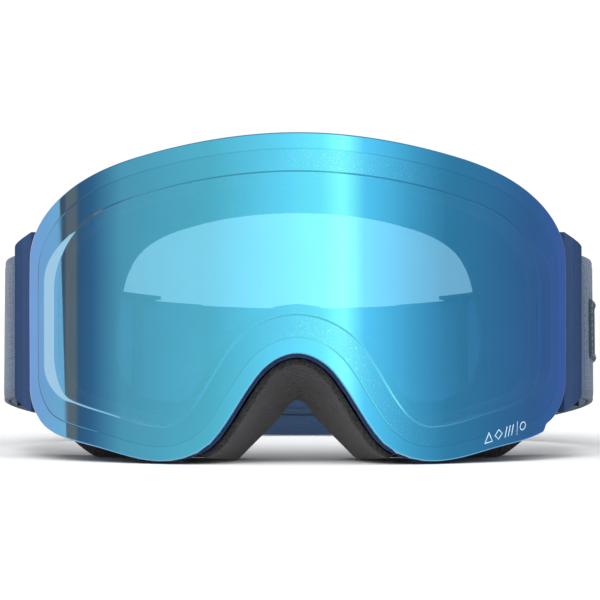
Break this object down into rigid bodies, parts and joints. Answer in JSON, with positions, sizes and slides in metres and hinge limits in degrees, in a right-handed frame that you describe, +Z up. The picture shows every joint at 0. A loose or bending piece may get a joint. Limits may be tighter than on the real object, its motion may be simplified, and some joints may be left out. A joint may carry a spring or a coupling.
{
  "type": "ski goggles",
  "caption": "Ski goggles with a cylindrical blue mirror lens held by magnets, a navy frame, layered face foam, hinged outriggers and an elastic strap with sliders.",
  "frame": {"origin": "centre of the bounding box in plan, on the surface that the foam and the strap rest on", "axes": "+Z up, -Y the way the lens faces, +X to the right as seen from the front, which is how the pieces' names use left and right; the strap loop runs back along +Y"},
  "size_m": [0.2108, 0.2397, 0.1078],
  "materials": {
    "lens_mirror": "blue mirror coating on tinted polycarbonate",
    "lens_clear": "clear anti-fog sheet",
    "carrier_plastic": "smooth moulded plastic",
    "spacer_foam": "closed-cell foam",
    "magnet_steel": "nickel-plated magnets and plain steel pins",
    "frame_navy": "flexible moulded frame with a fine speckle",
    "vent_foam": "open-cell foam",
    "face_foam": "open-cell foam",
    "fleece": "brushed fleece",
    "strap_webbing": "woven elastic",
    "slider_plastic": "fine grain",
    "grip_silicone": "soft silicone",
    "patch_rubber": "matt moulded rubber"
  },
  "bodies": {
    "goggles": {"frame_shell": "frame_navy", "vent_foam_top": "vent_foam", "vent_foam_left": "vent_foam", "vent_foam_right": "vent_foam", "foam_base": "face_foam", "foam_middle": "face_foam", "foam_face": "fleece", "nose_pad": "face_foam", "strap_main": "strap_webbing", "strap_tail_left": "strap_webbing", "strap_tail_right": "strap_webbing", "grip_strip_upper": "grip_silicone", "grip_strip_middle": "grip_silicone", "grip_strip_lower": "grip_silicone", "strap_patch": "patch_rubber", "hinge_pin_left": "magnet_steel", "hinge_pin_right": "magnet_steel", "frame_magnet_1": "magnet_steel", "frame_magnet_2": "magnet_steel", "frame_magnet_3": "magnet_steel", "frame_magnet_4": "magnet_steel", "frame_magnet_5": "magnet_steel", "frame_magnet_6": "magnet_steel", "frame_magnet_7": "magnet_steel", "frame_magnet_8": "magnet_steel"},
    "lens": {"lens_outer": "lens_mirror", "lens_inner": "lens_clear", "lens_spacer": "spacer_foam", "lens_carrier": "carrier_plastic", "lens_magnet_1": "magnet_steel", "lens_magnet_2": "magnet_steel", "lens_magnet_3": "magnet_steel", "lens_magnet_4": "magnet_steel", "lens_magnet_5": "magnet_steel", "lens_magnet_6": "magnet_steel", "lens_magnet_7": "magnet_steel", "lens_magnet_8": "magnet_steel"},
    "outrigger_left": {"outrigger_left": "frame_navy", "strap_loop_left": "strap_webbing"},
    "outrigger_right": {"outrigger_right": "frame_navy", "strap_loop_right": "strap_webbing"},
    "slider_left": {"slider_left": "slider_plastic"},
    "slider_right": {"slider_right": "slider_plastic"}
  },
  "joints": [
    {"name": "lens_pull", "type": "slide", "parent": "goggles", "child": "lens", "axis": [0, -1, 0], "range_m": [0, 0.03]},
    {"name": "outrigger_left_hinge", "type": "hinge", "parent": "goggles", "child": "outrigger_left", "pos_m": [-0.089, -0.0634, 0.043], "axis": [0, 0, 1], "range_deg": [-3, 10]},
    {"name": "outrigger_right_hinge", "type": "hinge", "parent": "goggles", "child": "outrigger_right", "pos_m": [0.089, -0.0634, 0.043], "axis": [0, 0, 1], "range_deg": [-10, 3]},
    {"name": "slider_left_slide", "type": "hinge", "parent": "goggles", "child": "slider_left", "pos_m": [0, 0.0187, 0.03865], "axis": [0, 0.1483, 0.9889], "range_deg": [-9, 11]},
    {"name": "slider_right_slide", "type": "hinge", "parent": "goggles", "child": "slider_right", "pos_m": [0, 0.0187, 0.03865], "axis": [0, 0.1483, 0.9889], "range_deg": [-11, 9]}
  ]
}
